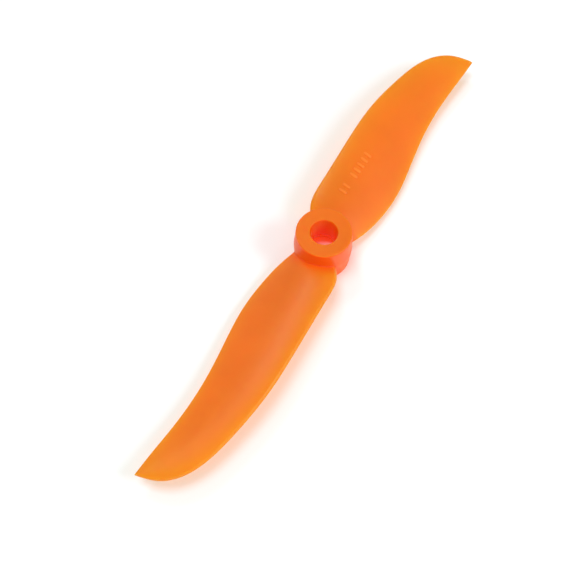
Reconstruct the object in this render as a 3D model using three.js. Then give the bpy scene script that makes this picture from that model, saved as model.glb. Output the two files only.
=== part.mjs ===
// Two-blade model propeller, one plastic moulding: 5 in (127 mm) across, about 3 in (76 mm) of pitch.
// Millimetres, +Z up. The hub stands on its back face at z = 0, with the shaft axis on Z. Blade 1 points along +X.
// Seen from +Z it turns counter-clockwise, so blade 1 leads with its +Y edge.
// The hub and the blades are separate solids, and each blade root keeps a small gap to the hub's wall.
import * as THREE from "three";

// ---- Hub ----
const HUB_HEIGHT = 10;
const HUB_FACE_RADIUS = 6.1;
const HUB_WAIST_RADIUS = 6.4; // the wall drafts both ways from its middle
const HUB_RIM_ROUND = 0.3;
const BORE_RADIUS = 3;
const BORE_ROUND = 0.25;
const COUNTERBORE_RADIUS = 4.9; // open to the back face
const COUNTERBORE_DEPTH = 3.3;
const COUNTERBORE_ROUND = 0.25;
const HUB_SEGMENTS = 64;
const ROUND_STEPS = 3;

// ---- Blade outline: each edge's middle, from the root on the hub to the tip that both edges share ----
const TIP = [63.5, 0, 4.45];
const LEADING_EDGE = [
  [3.4, 5.77, 5.2],
  [5.45, 7.4, 5.9],
  [8.1, 8.4, 6.5],
  [12, 8.95, 6.8],
  [18, 9.7, 6.95],
  [27, 10.85, 7.2],
  [36, 11.6, 7.15],
  [45, 11.25, 6.65],
  [53, 10.15, 6.15],
  [58.5, 7.95, 5.65],
  [61.8, 4.6, 5.1],
  TIP,
];
const TRAILING_EDGE = [
  [5.05, -4.48, 3.2],
  [9, -5.35, 2.6],
  [16, -5.85, 2],
  [23, -5.3, 2.1],
  [31, -3.5, 2.6],
  [40, -1.5, 3.1],
  [50, -0.4, 3.6],
  [58, -0.2, 4.2],
  TIP,
];

// ---- Blade section: half thicknesses and camber, at the root and at the tip ----
const ROOT_HALF_THICKNESS = 1.1;
const TIP_HALF_THICKNESS = 0.45;
const LEADING_EDGE_ROUND = 0.4;
const TRAILING_EDGE_ROUND = 0.27;
const CAMBER_SHARE = 0.055; // of the chord
const THICKEST_AT = 0.6; // power of the chord fraction: thickest 0.31 of the chord behind the leading edge
const CAMBER_AT = 0.75; // the same for the camber: highest 0.40 of the chord behind the leading edge
const NOSE_STEPS = 3;
const CHORD_STEPS = 8;

// ---- Blade root ----
const ROOT_GAP = 0.3;
const ROOT_RADIUS = HUB_WAIST_RADIUS + ROOT_GAP; // the root face is a patch of this cylinder
const ROOT_BLEND = 0.16; // share of the span over which the sections straighten from the hub's curve
const FILLET = 0.9;
const FILLET_STATIONS = [0, 0.12, 0.4, 0.9, 1.7]; // distances from the root face, closer where the fillet curves
const SPAN_STATIONS = 30;

const PLASTIC = { color: 0xf57a2d, roughness: 0.38, metalness: 0 };

// Points of a quarter circle about (r, z), from one angle to another, in degrees.
function arc(r, z, radius, from, to) {
  const points = [];
  for (let i = 0; i <= ROUND_STEPS; i++) {
    const angle = THREE.MathUtils.degToRad(from + ((to - from) * i) / ROUND_STEPS);
    points.push(new THREE.Vector2(r + radius * Math.cos(angle), z + radius * Math.sin(angle)));
  }
  return points;
}

// A turned ring: outer wall, front face, bore, ledge of the counterbore, counterbore and back face.
function hubGeometry() {
  const rimCentre = HUB_FACE_RADIUS - HUB_RIM_ROUND;
  const profile = [
    ...arc(rimCentre, HUB_RIM_ROUND, HUB_RIM_ROUND, -90, 0),
    new THREE.Vector2(HUB_WAIST_RADIUS, HUB_HEIGHT / 2),
    ...arc(rimCentre, HUB_HEIGHT - HUB_RIM_ROUND, HUB_RIM_ROUND, 0, 90),
    ...arc(BORE_RADIUS + BORE_ROUND, HUB_HEIGHT - BORE_ROUND, BORE_ROUND, 90, 180),
    ...arc(BORE_RADIUS + BORE_ROUND, COUNTERBORE_DEPTH + BORE_ROUND, BORE_ROUND, 180, 270),
    new THREE.Vector2(COUNTERBORE_RADIUS, COUNTERBORE_DEPTH),
    ...arc(COUNTERBORE_RADIUS + COUNTERBORE_ROUND, COUNTERBORE_ROUND, COUNTERBORE_ROUND, 180, 270),
  ];
  profile.push(profile[0].clone());
  return new THREE.LatheGeometry(profile, HUB_SEGMENTS).rotateX(Math.PI / 2);
}

function edgeCurve(points) {
  return new THREE.CatmullRomCurve3(points.map((p) => new THREE.Vector3(...p)), false, "centripetal");
}
const leadingEdge = edgeCurve(LEADING_EDGE);
const trailingEdge = edgeCurve(TRAILING_EDGE);

// Where the stations lie, as shares of the edges' lengths: first across the fillet, then evenly to the tip.
function stationShares() {
  const length = trailingEdge.getLength();
  const shares = FILLET_STATIONS.map((distance) => distance / length);
  const start = shares.at(-1);
  for (let i = 1; i <= SPAN_STATIONS; i++) shares.push(start + ((1 - start) * i) / SPAN_STATIONS);
  return shares;
}

// Chord positions of one side of a section, from edge to edge: {at: share of the chord, full: 0 at the very edge
// and 1 once its rounding is past}.
function chordSteps(chord, leadingRound, trailingRound) {
  const steps = [];
  for (let i = 0; i <= NOSE_STEPS; i++) {
    const angle = ((Math.PI / 2) * i) / NOSE_STEPS;
    steps.push({ at: (leadingRound * (1 - Math.cos(angle))) / chord, full: Math.sin(angle) });
  }
  const first = leadingRound / chord;
  const last = 1 - trailingRound / chord;
  for (let i = 1; i < CHORD_STEPS; i++) {
    steps.push({ at: first + ((last - first) * i) / CHORD_STEPS, full: 1 });
  }
  for (let i = NOSE_STEPS; i >= 0; i--) {
    const angle = ((Math.PI / 2) * i) / NOSE_STEPS;
    steps.push({ at: 1 - (trailingRound * (1 - Math.cos(angle))) / chord, full: Math.sin(angle) });
  }
  return steps;
}

// How far the root section stands out from its straight chord to lie on the hub's curve.
function rootBulge(at) {
  const onChord = new THREE.Vector3().lerpVectors(leadingEdge.points[0], trailingEdge.points[0], at);
  return Math.sqrt(ROOT_RADIUS ** 2 - onChord.y ** 2) - onChord.x;
}

// The fillet's rise at a distance from the root face: a quarter circle that ends along the hub's wall.
function filletRise(distance) {
  const left = 1 - THREE.MathUtils.clamp(distance / FILLET, 0, 1);
  return FILLET * (1 - Math.sqrt(1 - left ** 2));
}

// The ring of points round one section: the front side from leading to trailing edge, then the back side.
function sectionRing(share) {
  const lead = leadingEdge.getPointAt(share);
  const trail = trailingEdge.getPointAt(share);
  const chordLine = trail.clone().sub(lead);
  const chord = chordLine.length();
  const along = chordLine.clone().normalize();
  const normal = new THREE.Vector3(0, 0, 1).addScaledVector(along, -along.z).normalize();
  const halfThickness = THREE.MathUtils.lerp(ROOT_HALF_THICKNESS, TIP_HALF_THICKNESS, Math.sqrt(share));
  const leadingRound = Math.min(LEADING_EDGE_ROUND, chord / 4);
  const trailingRound = Math.min(TRAILING_EDGE_ROUND, chord / 4);
  const straightening = Math.max(0, 1 - share / ROOT_BLEND) ** 2;

  function place(step, side) {
    const edge = THREE.MathUtils.lerp(leadingRound, trailingRound, step.at);
    const swell = Math.sin(Math.PI * step.at ** THICKEST_AT);
    const thick = (edge + Math.max(0, halfThickness - edge) * swell) * step.full;
    const camber = CAMBER_SHARE * chord * Math.sin(Math.PI * step.at ** CAMBER_AT);
    const point = lead.clone().addScaledVector(chordLine, step.at);
    point.x += straightening * rootBulge(step.at);
    const distance = Math.hypot(point.x, point.y) - ROOT_RADIUS;
    point.addScaledVector(normal, camber + side * thick);
    point.z += side * step.full * filletRise(distance);
    return point;
  }

  const steps = chordSteps(chord, leadingRound, trailingRound);
  const front = steps.map((step) => place(step, 1));
  const back = steps.slice(1, -1).reverse().map((step) => place(step, -1));
  return [...front, ...back];
}

// Rings joined from root to tip, a strip of quads between front and back closing the root, and a fan at the tip.
function bladeGeometry() {
  const rings = stationShares().slice(0, -1).map(sectionRing);
  const count = rings[0].length;
  const positions = rings.flat().flatMap((p) => [p.x, p.y, p.z]);
  positions.push(...TIP);
  const tip = rings.length * count;
  const faces = [];
  for (let ring = 0; ring < rings.length - 1; ring++) {
    for (let i = 0; i < count; i++) {
      const next = (i + 1) % count;
      const a = ring * count + i;
      const b = ring * count + next;
      faces.push(a, b, a + count, b, b + count, a + count);
    }
  }
  for (let i = 0; i < count; i++) {
    const base = (rings.length - 1) * count;
    faces.push(base + i, base + ((i + 1) % count), tip);
  }
  const facing = (i) => (count - i) % count; // the back side's point opposite point i of the front side
  for (let i = 0; i < count / 2; i++) {
    if (facing(i) !== i) faces.push(i, facing(i), facing(i + 1));
    if (facing(i + 1) !== i + 1) faces.push(i, facing(i + 1), i + 1);
  }
  const geometry = new THREE.BufferGeometry();
  geometry.setAttribute("position", new THREE.Float32BufferAttribute(positions, 3));
  geometry.setIndex(faces);
  geometry.computeVertexNormals();
  return geometry;
}

function piece(name, geometry) {
  const mesh = new THREE.Mesh(geometry, new THREE.MeshStandardMaterial(PLASTIC));
  mesh.name = name;
  return mesh;
}

const propeller = new THREE.Group();
propeller.add(piece("hub", hubGeometry()));
for (const [index, name] of ["blade_1", "blade_2"].entries()) {
  const blade = piece(name, bladeGeometry());
  blade.rotation.z = index * Math.PI;
  propeller.add(blade);
}

export default propeller;
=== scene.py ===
"""Looks for a two-blade model propeller: one moulding in translucent orange plastic, lying on a white table.

The hub and each blade are fine meshes that stand for the CAD nodes of the same names, and a fourth mesh is
the mould mark on blade 1. Lengths are in millimetres and angles in degrees, in the part's own frame (+Z along
the shaft, +X along blade 1), and each mesh is scaled to metres when it is made.
"""

import math

import bmesh
import bpy
import numpy as np
from mathutils import Matrix, Vector
from mathutils.bvhtree import BVHTree


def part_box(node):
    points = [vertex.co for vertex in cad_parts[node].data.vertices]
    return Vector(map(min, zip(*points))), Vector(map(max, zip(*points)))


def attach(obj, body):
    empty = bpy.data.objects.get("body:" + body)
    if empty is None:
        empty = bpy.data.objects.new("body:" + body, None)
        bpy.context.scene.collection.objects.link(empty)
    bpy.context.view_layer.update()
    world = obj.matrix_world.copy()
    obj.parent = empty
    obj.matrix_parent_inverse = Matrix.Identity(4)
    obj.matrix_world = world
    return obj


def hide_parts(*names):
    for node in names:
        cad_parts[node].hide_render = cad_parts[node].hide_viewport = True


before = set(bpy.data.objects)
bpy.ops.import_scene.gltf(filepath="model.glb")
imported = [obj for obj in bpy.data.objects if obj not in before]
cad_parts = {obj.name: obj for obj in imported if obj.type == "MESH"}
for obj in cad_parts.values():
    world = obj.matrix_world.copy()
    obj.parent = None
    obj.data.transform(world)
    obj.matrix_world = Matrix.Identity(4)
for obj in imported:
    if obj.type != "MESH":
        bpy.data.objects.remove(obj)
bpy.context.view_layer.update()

MM = 0.001

# ---- Hub: height and waist from the frame ----
HUB_LOW, HUB_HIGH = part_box("hub")
HUB_HEIGHT = (HUB_HIGH.z - HUB_LOW.z) / MM
HUB_WAIST_RADIUS = (HUB_HIGH.x - HUB_LOW.x) / 2 / MM
HUB_FACE_RADIUS = 6.1  # the wall drafts both ways from its waist
HUB_RIM_ROUND = 0.3
BORE_RADIUS = 3.0
BORE_ROUND = 0.25
COUNTERBORE_RADIUS = 4.9  # open to the back face
COUNTERBORE_DEPTH = 3.3
COUNTERBORE_ROUND = 0.25
FLOOR_CORNER_ROUND = 0.3  # where the counterbore's wall meets its floor
BORE_GLOW_MARGIN = 0.01  # how far past the counterbore's wall the bores' painted glow reaches
HUB_SEGMENTS = 192
ROUND_STEPS = 8
WALL_STEPS = 8  # this and the next five are for the straight stretches of the profile
FACE_STEPS = 6
BORE_STEPS = 8
FLOOR_STEPS = 4
COUNTERBORE_STEPS = 4
BACK_STEPS = 3

# ---- Blade outline: each edge's middle, from inside the hub's wall to the tip that both edges share ----
TIP = (63.5, 0, 4.45)
LEADING_EDGE = [
    (2.5, 5.0, 4.85),
    (3.4, 5.77, 5.2),
    (5.45, 7.4, 5.9),
    (8.1, 8.4, 6.5),
    (12, 8.95, 6.8),
    (18, 9.7, 6.95),
    (27, 10.85, 7.2),
    (36, 11.575, 7.15),
    (45, 11.25, 6.65),
    (53, 10.15, 6.15),
    (58.5, 7.95, 5.65),
    (61.8, 4.6, 5.1),
    TIP,
]
TRAILING_EDGE = [
    (3.8, -4.2, 3.4),
    (5.05, -4.48, 3.2),
    (9, -5.35, 2.6),
    (16, -5.85, 2),
    (23, -5.3, 2.1),
    (31, -3.5, 2.6),
    (40, -1.5, 3.1),
    (50, -0.4, 3.6),
    (58, -0.2, 4.2),
    TIP,
]
CURVE_SAMPLES = 2000  # for measuring along the edges

# ---- Blade section ----
ROOT_HALF_THICKNESS = 1.1
TIP_HALF_THICKNESS = 0.45
LEADING_EDGE_ROUND = 0.4
TRAILING_EDGE_ROUND = 0.27
CHORD_LIMIT = 0.45  # half thicknesses and edge roundings stay under this share of the chord, near the tip
THICKEST_AT = 0.6  # power of the chord share: thickest 0.31 of the chord behind the leading edge
CAMBER_SHARE = 0.055  # of the chord
CAMBER_AT = 0.75  # as THICKEST_AT, for the camber: highest 0.40 of the chord behind the leading edge
ROOT_CAMBER_SHARE = 0.03  # added near the root, where the camber also peaks further back
ROOT_CAMBER_AT = 0.25
ROOT_CAMBER_SPAN = 0.4  # share of the span over which both additions fade out
ROOT_CAMBER_FADE = 1.5  # power of that fade
NOSE_STEPS = 8
CHORD_STEPS = 34

# ---- Blade root ----
ROOT_RADIUS = 5.62  # the root face lies on this cylinder, inside the hub's wall
ROOT_BLEND = 0.18  # share of the span over which the sections straighten from the hub's curve
FILLET = 0.3
FILLET_SINK = 0.03  # how far inside the hub's wall the fillet comes to its full height
NOSE_FLARE = 0.25  # share of the fillet's rise by which the edges spread too
ROOT_LENGTH = 3.4  # the stretch with close stations
ROOT_STATIONS = 34
SPAN_STATIONS = 100
TIP_CROWDING = 1.25  # 1 would space the span's stations evenly, and more crowds them towards the tip

# ---- Levels of painted light and thickness, from the deepest parts to the thinnest ----
# painted glow: the bores and the counterbore are coloured a brighter red, for the light scattered into them
# through the hub
BORE_PAINTED_GLOW = 0.0
# painted shade: the hub's outer wall is coloured a deeper, darker red than its face
WALL_PAINTED_SHADE = 0.2
ON_FACE = 0.4
# painted shade: the blade roots next to the hub's wall are coloured a darker red
ROOT_PAINTED_SHADE = 0.5
IN_BLADE = 0.6
# painted glow: the thin edges and the tip are coloured a lighter, yellower orange, for light let through
EDGE_PAINTED_GLOW = 0.9
ON_MARK = 1.0
ROOT_SHADE_LENGTH = 2.5  # how far out from the hub's wall the root's painted shade fades
LEADING_GLOW = 2.6  # how far the lit-through look reaches in from the leading edge
TRAILING_GLOW = 1.4
TIP_GLOW = 0.7  # how much of that look the whole tip has
TIP_GLOW_FADE = 4  # power of the span share with which it comes in

# ---- Raised mould mark on blade 1: plain bars ----
MARK_START = (12.6, 3.6)  # X and Y of the first bar's middle
MARK_END = (24.0, 4.6)  # and of the last bar's
MARK_SLOTS = 8
MARK_GAP_SLOT = 2  # left empty between the two groups of bars
BAR_LENGTH = 1.9
BAR_WIDTH = 0.6
BAR_RAISE = 0.15
BAR_BEVEL = 0.08
BAR_SINK = 0.03
BAR_LAYERS = [  # share of the bar's outline, and height over the blade
    (1, -BAR_SINK),
    (1, BAR_RAISE - BAR_BEVEL),
    (0.86, BAR_RAISE - BAR_BEVEL / 3),
    (0.65, BAR_RAISE),
]
BAR_END_STEPS = 8
PROBE_HEIGHT = 50  # rays that find the blade's front start this high

# ---- Plastic: its colour with painted light, and the tint of the light it lets through, at levels of painted light and thickness ----
# the colour at each level holds painted light: a painted glow in the bores and at the thin edges, and painted
# shade on the hub's wall and the blade roots
BODY_AND_PAINTED_LIGHT_COLOURS = [
    (BORE_PAINTED_GLOW, (0.9, 0.165, 0.003)),
    (WALL_PAINTED_SHADE, (0.98, 0.125, 0.004)),
    (ON_FACE, (0.77, 0.168, 0.004)),
    (ROOT_PAINTED_SHADE, (0.82, 0.14, 0.004)),
    (IN_BLADE, (0.75, 0.167, 0.009)),
    (EDGE_PAINTED_GLOW, (0.745, 0.26, 0.007)),
    (ON_MARK, (0.86, 0.212, 0.02)),
]
PASSED_COLOURS = [
    (ON_FACE, (0.64, 0.2, 0.04)),
    (IN_BLADE, (0.52, 0.5, 0.19)),
]
BOUNCED_ORANGE = (0.89, 0.165, 0.004)  # of the light that the plastic throws on what is near it
PLASTIC_IOR = 1.5
PLASTIC_SPECULAR = 0.3
SCATTER_SCALE = 2.2
SCATTER_REACH = (1.0, 0.6, 0.2)  # how far red, green and blue go, as shares of that scale
NOISE_LOW, NOISE_HIGH = 0.3, 0.7  # most of a noise's values lie between these
FLOW_SCALE, FLOW_DETAIL = 90, 3  # 90 cells to the metre, so the flow marks are about 11 mm wide
FLOW_SHADES = (0.96, 1.04)
ROUGHNESSES = (0.36, 0.43)
GRAIN_SCALE, GRAIN_DETAIL = 5000, 2  # and the grain about 0.2 mm
GRAIN_HEIGHT = 0.02
GRAIN_STRENGTH = 0.15

# ---- View: the camera's place over the table, and how the propeller lies on it ----
CAMERA_DISTANCE = 204.9
CAMERA_ELEVATION = 62.97
CAMERA_ROLL = -1.4
CAMERA_CLIP = 10
LENS = 58.57
SENSOR = 36
PROPELLER_PLACE = (7.4, 8.49)  # of the shaft's axis, from the point that the camera looks at
PROPELLER_TURN = 55.21
TABLE_TURN = Matrix.Rotation(math.radians(-PROPELLER_TURN), 3, "Z")  # from the table's axes to the part's

# ---- Studio ----
TABLE_WIDTH = 3000
TABLE_DROP = 0.05  # keeps the table's top out of the plane of the hub's back face
TABLE_WHITE = (0.95, 0.95, 0.95)
TABLE_ROUGHNESS = 0.7
TABLE_SPECULAR = 0.2
LIGHT_COLOUR = (0.96, 1, 1)  # a touch cooler than the camera's white
SOFTBOXES = [  # name, place over the table, width, power in watts, and whether the gloss mirrors it
    ("overhead", (-135, 15, 790), 320, 2.75, False),
    ("side_right", (640, -200, 600), 320, 3.05, True),
    ("back_left", (-270, 530, 795), 220, 1.5, True),
    ("front_fill", (0, -800, 300), 500, 1.1, True),
]
WORLD_STRENGTH = 0.36
DIFFUSE_BOUNCES = 12  # light is thrown about many times inside the bores
MAX_BOUNCES = 16


# ---------------------------------------------------------------- shapes


def spline(points):
    """A smooth curve through points: a function of the share of its length, from 0 to 1, and that length.

    It is a natural cubic spline, and its knots are spaced by the square roots of the points' distances.
    """
    points = np.array(points, float)
    steps = np.sqrt(np.linalg.norm(np.diff(points, axis=0), axis=1))
    knots = np.concatenate([[0], np.cumsum(steps)])
    count = len(points)
    system = np.eye(count)
    slope_changes = np.zeros_like(points)
    for i in range(1, count - 1):
        before, after = steps[i - 1], steps[i]
        system[i, i - 1 : i + 2] = [before, 2 * (before + after), after]
        change = (points[i + 1] - points[i]) / after - (points[i] - points[i - 1]) / before
        slope_changes[i] = 6 * change
    bends = np.linalg.solve(system, slope_changes)

    def at_knot(t):
        i = np.clip(np.searchsorted(knots, t, side="right") - 1, 0, count - 2)
        h = steps[i][:, None]
        a = ((knots[i + 1] - t) / steps[i])[:, None]
        b = 1 - a
        curve = ((a**3 - a) * bends[i] + (b**3 - b) * bends[i + 1]) * h**2 / 6
        return a * points[i] + b * points[i + 1] + curve

    fine = np.linspace(0, knots[-1], CURVE_SAMPLES)
    walked = np.linalg.norm(np.diff(at_knot(fine), axis=0), axis=1)
    lengths = np.concatenate([[0], np.cumsum(walked)])

    def at_share(share):
        return at_knot(np.interp(np.asarray(share) * lengths[-1], lengths, fine))

    return at_share, lengths[-1]


def wall_radius(z):
    """The radius of the hub's outer wall at a height."""
    half = HUB_HEIGHT / 2
    return HUB_FACE_RADIUS + (HUB_WAIST_RADIUS - HUB_FACE_RADIUS) * (1 - abs(z - half) / half)


def section_steps(chord, leading_round, trailing_round):
    """Chord shares of one side of a section, with how far the edge rounding is past at each, from 0 to 1."""
    turn = np.linspace(0, math.pi / 2, NOSE_STEPS + 1)
    nose = leading_round * (1 - np.cos(turn)) / chord
    tail = 1 - trailing_round * (1 - np.cos(turn[::-1])) / chord
    swing = (1 - np.cos(np.linspace(0, math.pi, CHORD_STEPS + 1)[1:-1])) / 2
    middle = nose[-1] + (tail[0] - nose[-1]) * swing
    at = np.concatenate([nose, middle, tail])
    full = np.concatenate([np.sin(turn), np.ones(len(middle)), np.sin(turn[::-1])])
    return at, full


def open_blade_light_and_thickness(share, to_lead, to_trail):
    """The level of painted light and thickness away from the root: a painted glow towards the two edges and
    the tip, by the distances to the edges.
    """
    edges = np.exp(-to_lead / LEADING_GLOW) + np.exp(-to_trail / TRAILING_GLOW)
    glow = np.clip(edges + TIP_GLOW * share**TIP_GLOW_FADE, 0, 1)
    return IN_BLADE + (EDGE_PAINTED_GLOW - IN_BLADE) * glow


def section_ring(share, lead, trail, root):
    """Points round one section, front side first, and the level of painted light and thickness at each.

    share is the section's place along the span, lead and trail are its ends, and root holds the root's ends.
    """
    chord_line = trail - lead
    chord = np.linalg.norm(chord_line)
    along = chord_line / chord
    normal = np.array([0, 0, 1]) - along * along[2]
    normal /= np.linalg.norm(normal)
    half = ROOT_HALF_THICKNESS + (TIP_HALF_THICKNESS - ROOT_HALF_THICKNESS) * math.sqrt(share)
    half = min(half, CHORD_LIMIT * chord)
    leading_round = min(LEADING_EDGE_ROUND, CHORD_LIMIT * chord)
    trailing_round = min(TRAILING_EDGE_ROUND, CHORD_LIMIT * chord)
    at, full = section_steps(chord, leading_round, trailing_round)
    edge = leading_round + (trailing_round - leading_round) * at
    swell = np.sin(math.pi * at**THICKEST_AT)
    thick = (edge + np.maximum(0, half - edge) * swell) * full
    inner = max(0, 1 - share / ROOT_CAMBER_SPAN) ** ROOT_CAMBER_FADE
    camber_height = (CAMBER_SHARE + inner * ROOT_CAMBER_SHARE) * chord
    camber = camber_height * np.sin(math.pi * at ** (CAMBER_AT + inner * ROOT_CAMBER_AT))

    middle = lead + at[:, None] * chord_line
    on_root = root[0] + at[:, None] * (root[1] - root[0])
    bulge = np.sqrt(ROOT_RADIUS**2 - on_root[:, 1] ** 2) - on_root[:, 0]
    middle[:, 0] += max(0, 1 - share / ROOT_BLEND) ** 2 * bulge
    outward = np.where(at < 0.5, -1.0, 1.0) * np.sqrt(1 - full**2) * NOSE_FLARE

    on_blade = open_blade_light_and_thickness(share, at * chord, (1 - at) * chord)

    sides, lights_and_thicknesses = [], []
    for side in (1, -1):
        points = middle + np.outer(camber + side * thick, normal)
        distance = np.hypot(points[:, 0], points[:, 1]) - wall_radius(points[:, 2]) + FILLET_SINK
        left = 1 - np.clip(distance / FILLET, 0, 1)
        rise = FILLET * (1 - np.sqrt(1 - left**2))
        points = points + np.outer(rise * outward, along)
        points[:, 2] += side * full * rise
        # painted shade: near the hub's wall the root is coloured darker, and this fades out further from the
        # wall
        clear = np.clip(distance / ROOT_SHADE_LENGTH, 0, 1)
        sides.append(points)
        lights_and_thicknesses.append(ROOT_PAINTED_SHADE + (on_blade - ROOT_PAINTED_SHADE) * clear * clear * (3 - 2 * clear))
    return [np.concatenate([both[0], both[1][-2:0:-1]]) for both in (sides, lights_and_thicknesses)]


def station_shares(length):
    """Where the sections lie along the span: close over the root and its fillet, and wider beyond."""
    start = ROOT_LENGTH / length
    root = start * np.linspace(0, 1, ROOT_STATIONS, endpoint=False)
    span = 1 - (1 - np.linspace(0, 1, SPAN_STATIONS)) ** TIP_CROWDING
    return np.concatenate([root, start + (1 - start) * span])[:-1]


def capped_rings(rings, count, first=0):
    """Faces between rings of count points, and a fan to the single point that comes after the last ring."""
    faces = []
    for ring in range(rings - 1):
        for i in range(count):
            a = first + ring * count + i
            b = first + ring * count + (i + 1) % count
            faces.append((a, b, b + count, a + count))
    last = first + (rings - 1) * count
    faces += [(last + i, last + (i + 1) % count, last + count) for i in range(count)]
    return faces


def mesh_object(name, points, faces):
    """A smooth closed mesh of orange plastic from points in millimetres, riding with the part."""
    mesh = bpy.data.meshes.new(name)
    mesh.from_pydata([tuple(p) for p in np.asarray(points) * MM], [], faces)
    mesh.validate()
    checked = bmesh.new()
    checked.from_mesh(mesh)
    bmesh.ops.recalc_face_normals(checked, faces=checked.faces)
    checked.to_mesh(mesh)
    checked.free()
    mesh.shade_smooth()
    made = bpy.data.objects.new(name, mesh)
    bpy.context.scene.collection.objects.link(made)
    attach(made, "root")
    return made


def keep_light_and_thickness(made, lights_and_thicknesses):
    """Stores each point's level of painted light and thickness, from the deepest to the thinnest plastic."""
    layer = made.data.attributes.new("light_and_thickness", "FLOAT", "POINT")
    layer.data.foreach_set("value", np.asarray(lights_and_thicknesses, np.float32))


def blade(name, turn):
    """A blade lofted out along X, and then turned round the shaft by an angle."""
    lead_at, _ = spline(LEADING_EDGE)
    trail_at, length = spline(TRAILING_EDGE)
    shares = station_shares(length)
    leads, trails = lead_at(shares), trail_at(shares)
    rings, lights_and_thicknesses = [], []
    for share, lead, trail in zip(shares, leads, trails):
        ring, light_and_thickness = section_ring(share, lead, trail, (leads[0], trails[0]))
        rings.append(ring)
        lights_and_thicknesses.append(light_and_thickness)
    points = np.concatenate([*rings, [TIP]]) @ np.array(Matrix.Rotation(math.radians(turn), 3, "Z")).T
    count = len(rings[0])
    faces = capped_rings(len(rings), count)
    for i in range(count // 2):  # strips that close the root: the two at its ends are triangles
        corners = [i, (count - i) % count, (count - i - 1) % count, i + 1]
        faces.append(tuple(dict.fromkeys(corners)))
    made = mesh_object(name, points, faces)
    keep_light_and_thickness(made, np.concatenate([*lights_and_thicknesses, [EDGE_PAINTED_GLOW]]))
    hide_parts(name)
    return made


def arc(r, z, radius, start, end):
    """Profile points on a quarter circle about (r, z), from one angle to another in degrees."""
    angles = np.radians(np.linspace(start, end, ROUND_STEPS + 1))
    return [(r + radius * math.cos(a), z + radius * math.sin(a)) for a in angles]


def straight(start, end, steps):
    """The points between two profile points, without the ends."""
    shares = np.linspace(0, 1, steps + 1)[1:-1]
    return [tuple(np.array(start) + share * (np.array(end) - np.array(start))) for share in shares]


def hub_light_and_thickness(r, z):
    """The level of painted light and thickness at a point of the hub's profile: painted glow inside, painted
    shade on the wall, and the plain colour on the face.
    """
    if r < COUNTERBORE_RADIUS + BORE_GLOW_MARGIN and z < HUB_HEIGHT - BORE_ROUND / 2:
        return BORE_PAINTED_GLOW
    return ON_FACE if z > HUB_HEIGHT - HUB_RIM_ROUND / 3 else WALL_PAINTED_SHADE


def hub_profile():
    """The closed outline of the hub's ring, from its back rim up the wall and back down through the bores."""
    top, floor = HUB_HEIGHT, COUNTERBORE_DEPTH
    rim = HUB_FACE_RADIUS - HUB_RIM_ROUND
    rim_top = top - HUB_RIM_ROUND
    waist = (HUB_WAIST_RADIUS, top / 2)
    bore_edge = BORE_RADIUS + BORE_ROUND
    bore_top, bore_foot = top - BORE_ROUND, floor + BORE_ROUND
    counterbore = COUNTERBORE_RADIUS
    corner, corner_low = counterbore - FLOOR_CORNER_ROUND, floor - FLOOR_CORNER_ROUND
    mouth = counterbore + COUNTERBORE_ROUND
    return [
        *arc(rim, HUB_RIM_ROUND, HUB_RIM_ROUND, -90, 0),
        *straight((HUB_FACE_RADIUS, HUB_RIM_ROUND), waist, WALL_STEPS),
        waist,
        *straight(waist, (HUB_FACE_RADIUS, rim_top), WALL_STEPS),
        *arc(rim, rim_top, HUB_RIM_ROUND, 0, 90),
        *straight((rim, top), (bore_edge, top), FACE_STEPS),
        *arc(bore_edge, bore_top, BORE_ROUND, 90, 180),
        *straight((BORE_RADIUS, bore_top), (BORE_RADIUS, bore_foot), BORE_STEPS),
        *arc(bore_edge, bore_foot, BORE_ROUND, 180, 270),
        *straight((bore_edge, floor), (corner, floor), FLOOR_STEPS),
        *arc(corner, corner_low, FLOOR_CORNER_ROUND, 90, 0),
        *straight((counterbore, corner_low), (counterbore, COUNTERBORE_ROUND), COUNTERBORE_STEPS),
        *arc(mouth, COUNTERBORE_ROUND, COUNTERBORE_ROUND, 180, 270),
        *straight((mouth, 0), (rim, 0), BACK_STEPS),
    ]


def hub():
    """The turned ring between the blades."""
    profile = hub_profile()
    points = []
    for i in range(HUB_SEGMENTS):
        angle = 2 * math.pi * i / HUB_SEGMENTS
        points += [(r * math.cos(angle), r * math.sin(angle), z) for r, z in profile]
    rows = len(profile)
    faces = []
    for i in range(HUB_SEGMENTS):
        here, beside = i * rows, (i + 1) % HUB_SEGMENTS * rows
        for row in range(rows):
            after = (row + 1) % rows
            faces.append((here + row, beside + row, beside + after, here + after))
    made = mesh_object("hub", points, faces)
    keep_light_and_thickness(made, [hub_light_and_thickness(r, z) for r, z in profile] * HUB_SEGMENTS)
    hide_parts("hub")
    return made


def bar_outline():
    """Points round one bar of the mark: two straight sides and two half-round ends."""
    radius = BAR_WIDTH / 2
    reach = BAR_LENGTH / 2 - radius
    outline = []
    for start, side in ((0, 1), (180, -1)):
        for angle in np.radians(np.linspace(start, start + 180, BAR_END_STEPS + 1)):
            outline.append((radius * math.cos(angle), side * reach + radius * math.sin(angle)))
    return outline


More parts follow.
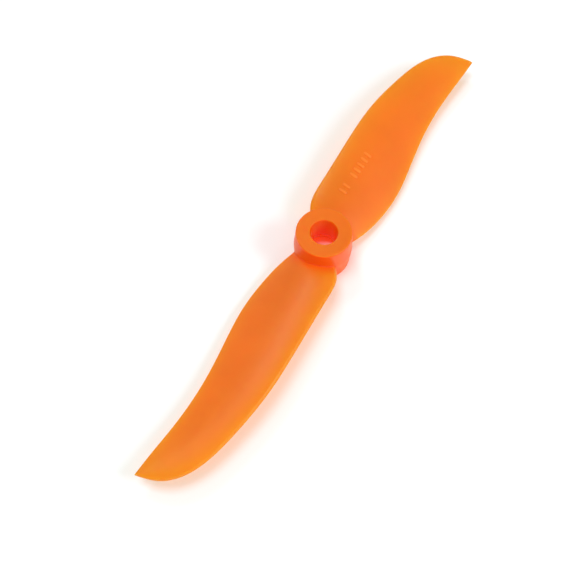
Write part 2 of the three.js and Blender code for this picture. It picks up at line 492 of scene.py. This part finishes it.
def mould_mark(blade_piece):
    """A row of small raised bars that follow the blade's front face."""
    tree = BVHTree.FromObject(blade_piece, bpy.context.evaluated_depsgraph_get())
    start, end = np.array(MARK_START), np.array(MARK_END)
    along = (end - start) / np.linalg.norm(end - start)
    across = np.array([-along[1], along[0]])
    outline = bar_outline()
    points, faces = [], []

    def on_blade(flat, height):
        hit, normal, _, _ = tree.ray_cast(Vector((*(flat * MM), PROBE_HEIGHT * MM)), Vector((0, 0, -1)))
        return np.array(hit) / MM + np.array(normal) * height

    for slot in range(MARK_SLOTS):
        if slot == MARK_GAP_SLOT:
            continue
        centre = start + (end - start) * slot / (MARK_SLOTS - 1)
        first = len(points)
        for share, height in BAR_LAYERS:
            for u, v in outline:
                points.append(on_blade(centre + (along * u + across * v) * share, height))
        points.append(on_blade(centre, BAR_RAISE))
        faces += capped_rings(len(BAR_LAYERS), len(outline), first)
        faces.append(tuple(first + i for i in reversed(range(len(outline)))))
    made = mesh_object("blade_1_mould_mark", points, faces)
    keep_light_and_thickness(made, [ON_MARK] * len(points))
    return made


# ---------------------------------------------------------------- materials


def feed(tree, made, inputs):
    """Sets a node's inputs by name, each to a plain value or by a link from the output that feeds it."""
    for name, value in inputs.items():
        if isinstance(value, bpy.types.NodeSocket):
            tree.links.new(value, made.inputs[name])
        else:
            made.inputs[name].default_value = value


def node(tree, kind, inputs, **settings):
    """A new node with its settings and its inputs."""
    made = tree.nodes.new(kind)
    for name, value in settings.items():
        setattr(made, name, value)
    feed(tree, made, inputs)
    return made


def ramp(tree, light_and_thickness, stops):
    """A colour that goes from stop to stop with the level of painted light and thickness."""
    made = node(tree, "ShaderNodeValToRGB", {"Fac": light_and_thickness})
    while len(made.color_ramp.elements) < len(stops):
        made.color_ramp.elements.new(0.5)
    for stop, (position, colour) in zip(made.color_ramp.elements, stops):
        stop.position = position
        stop.color = (*colour, 1)
    return made.outputs["Color"]


def noise(tree, place, scale, detail):
    """A noise over the places that it is given."""
    inputs = {"Vector": place, "Scale": scale, "Detail": detail}
    return node(tree, "ShaderNodeTexNoise", inputs).outputs["Fac"]


def spread(tree, value, low, high):
    """A number that goes from low to high over the usual range of a noise."""
    inputs = {"Value": value, "From Min": NOISE_LOW, "From Max": NOISE_HIGH, "To Min": low, "To Max": high}
    return node(tree, "ShaderNodeMapRange", inputs).outputs["Result"]


def orange_plastic(name, scattering):
    """Dyed nylon: satin, lit through where it is thin, with painted shade and painted glow in its colour,
    faint flow marks and a fine moulded grain.
    """
    material = bpy.data.materials.new(name)
    material.use_nodes = True
    tree = material.node_tree
    place = node(tree, "ShaderNodeTexCoord", {}).outputs["Object"]
    light_and_thickness = node(tree, "ShaderNodeAttribute", {}, attribute_name="light_and_thickness").outputs["Fac"]
    path = node(tree, "ShaderNodeLightPath", {}).outputs
    flow = noise(tree, place, FLOW_SCALE, FLOW_DETAIL)

    # The body's colour with its painted shade and painted glow, and one fixed orange for the light that it
    # throws on what is near it.
    marked = {"Factor": 1.0, "A": ramp(tree, light_and_thickness, BODY_AND_PAINTED_LIGHT_COLOURS), "B": spread(tree, flow, *FLOW_SHADES)}
    body = node(tree, "ShaderNodeMix", marked, data_type="RGBA", blend_type="MULTIPLY").outputs["Result"]
    bounced = {"Factor": path["Is Diffuse Ray"], "A": body, "B": (*BOUNCED_ORANGE, 1)}
    colour = node(tree, "ShaderNodeMix", bounced, data_type="RGBA").outputs["Result"]

    grain = noise(tree, place, GRAIN_SCALE, GRAIN_DETAIL)
    raised = {"Height": grain, "Strength": GRAIN_STRENGTH, "Distance": GRAIN_HEIGHT * MM}
    surface = tree.nodes["Principled BSDF"]
    look = {
        "Base Color": colour,
        "Roughness": spread(tree, flow, *ROUGHNESSES),
        "IOR": PLASTIC_IOR,
        "Specular IOR Level": PLASTIC_SPECULAR,
        "Subsurface Weight": scattering,
        "Subsurface Radius": SCATTER_REACH,
        "Subsurface Scale": SCATTER_SCALE * MM,
        "Normal": node(tree, "ShaderNodeBump", raised).outputs["Normal"],
    }
    feed(tree, surface, look)

    # To the rays that find shadows the plastic is clear and tinted, so that its shadows are pale orange.
    tint = {"Color": ramp(tree, light_and_thickness, PASSED_COLOURS)}
    passing = node(tree, "ShaderNodeBsdfTransparent", tint).outputs["BSDF"]
    either = {"Fac": path["Is Shadow Ray"], 1: surface.outputs["BSDF"], 2: passing}
    shader = node(tree, "ShaderNodeMixShader", either).outputs["Shader"]
    feed(tree, tree.nodes["Material Output"], {"Surface": shader})
    return material


def white_table():
    """A plain matt white."""
    material = bpy.data.materials.new("white_table")
    material.use_nodes = True
    tree = material.node_tree
    look = {
        "Base Color": (*TABLE_WHITE, 1),
        "Roughness": TABLE_ROUGHNESS,
        "Specular IOR Level": TABLE_SPECULAR,
    }
    feed(tree, tree.nodes["Principled BSDF"], look)
    return material


# ---------------------------------------------------------------- stage


def on_table(x, y, z):
    """The place in the part's frame of a point over the table.

    X goes to the picture's right and Y away from the camera, and both start where the camera looks.
    """
    return TABLE_TURN @ (Vector((x - PROPELLER_PLACE[0], y - PROPELLER_PLACE[1], z)) * MM)


def table():
    """A flat floor, just below the propeller and far wider than the picture."""
    bpy.ops.mesh.primitive_plane_add(size=TABLE_WIDTH * MM, location=(0, 0, -TABLE_DROP * MM))
    floor = bpy.context.object
    floor.name = "table"
    floor.data.materials.append(white_table())


def camera():
    """The photo's view: the camera looks at the table's middle, and is rolled a little."""
    tilt, roll = math.radians(CAMERA_ELEVATION), math.radians(CAMERA_ROLL)
    right = Vector((1, 0, 0))
    up = Vector((0, math.sin(tilt), math.cos(tilt)))
    back = Vector((0, -math.cos(tilt), math.sin(tilt)))
    rolled_right = math.cos(roll) * right - math.sin(roll) * up
    rolled_up = math.sin(roll) * right + math.cos(roll) * up
    axes = Matrix([TABLE_TURN @ axis for axis in (rolled_right, rolled_up, back)]).transposed()
    lens = bpy.data.cameras.new("camera")
    lens.lens = LENS
    lens.sensor_width = SENSOR
    lens.clip_start = CAMERA_CLIP * MM
    made = bpy.data.objects.new("camera", lens)
    made.matrix_world = Matrix.Translation(on_table(*(back * CAMERA_DISTANCE))) @ axes.to_4x4()
    bpy.context.scene.collection.objects.link(made)
    bpy.context.scene.camera = made


def softbox(name, place, width, power, mirrored):
    """A square light over the table, facing the middle of it."""
    lamp = bpy.data.lights.new(name, "AREA")
    lamp.shape = "SQUARE"
    lamp.size = width * MM
    lamp.energy = power
    lamp.color = LIGHT_COLOUR
    made = bpy.data.objects.new(name, lamp)
    made.visible_glossy = mirrored
    spot = on_table(*place)
    facing = (spot - on_table(0, 0, 0)).to_track_quat("Z", "Y")
    made.matrix_world = Matrix.Translation(spot) @ facing.to_matrix().to_4x4()
    bpy.context.scene.collection.objects.link(made)


def studio():
    """Soft light from all round, the softboxes, and how light is shown and followed."""
    world = bpy.data.worlds.new("studio")
    bpy.context.scene.world = world
    world.use_nodes = True
    glow = {"Color": (*LIGHT_COLOUR, 1), "Strength": WORLD_STRENGTH}
    feed(world.node_tree, world.node_tree.nodes["Background"], glow)
    for light in SOFTBOXES:
        softbox(*light)
    bpy.context.scene.view_settings.view_transform = "Standard"
    bpy.context.scene.cycles.diffuse_bounces = DIFFUSE_BOUNCES
    bpy.context.scene.cycles.max_bounces = MAX_BOUNCES


# ---------------------------------------------------------------- scene


camera()
studio()
table()
plastic = orange_plastic("orange_plastic", scattering=1.0)
blade_1 = blade("blade_1", turn=0)
for piece in (hub(), blade_1, blade("blade_2", turn=180)):
    piece.data.materials.append(plastic)
mould_mark(blade_1).data.materials.append(orange_plastic("orange_plastic_thin", scattering=0.0))
